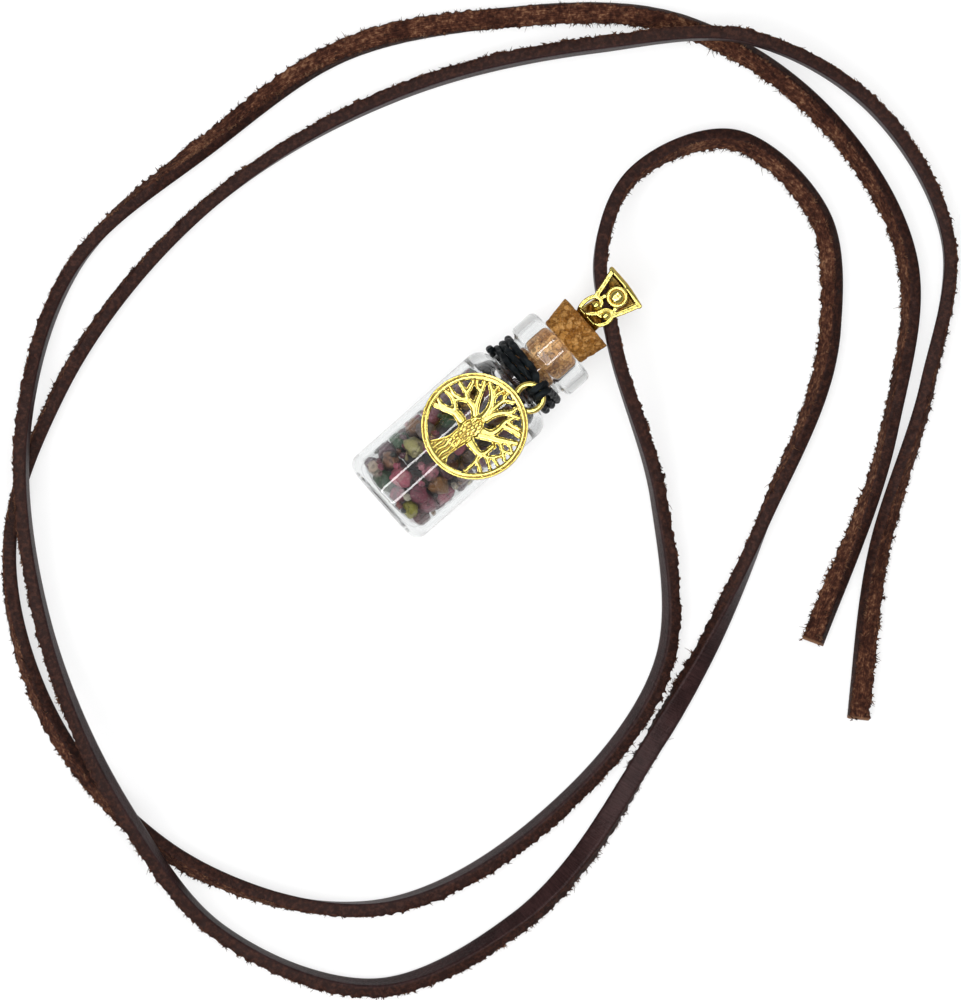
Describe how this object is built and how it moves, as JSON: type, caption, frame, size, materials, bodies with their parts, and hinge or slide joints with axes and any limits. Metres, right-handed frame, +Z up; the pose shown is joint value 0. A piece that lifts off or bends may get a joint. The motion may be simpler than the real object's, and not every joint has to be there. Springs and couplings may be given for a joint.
{
  "type": "bottle pendant",
  "caption": "Small corked glass bottle pendant filled with stone chips, with a tree charm tied to its neck, a scrolled bail and a long leather strap laid in loops.",
  "frame": {"origin": "on the table, under the middle of the pendant without its strap", "axes": "+X along the bottle from its base to its bail, +Z up from the table the pendant lies on, +Y to the left of +X seen from above"},
  "size_m": [0.1514, 0.1269, 0.0177],
  "materials": {
    "glass": "clear, polished",
    "cork": "cork, matt with pores",
    "stone": "tumbled, several colours",
    "thread": "waxed, braided",
    "gold": "gold plated, polished",
    "leather": "smooth on one side, rough on the other"
  },
  "bodies": {
    "root": {"glass_bottle": "glass", "cork_stopper": "cork", "stone_chips": "stone", "neck_thread": "thread", "tree_charm": "gold", "bail": "gold", "leather_strap": "leather"}
  },
  "joints": []
}
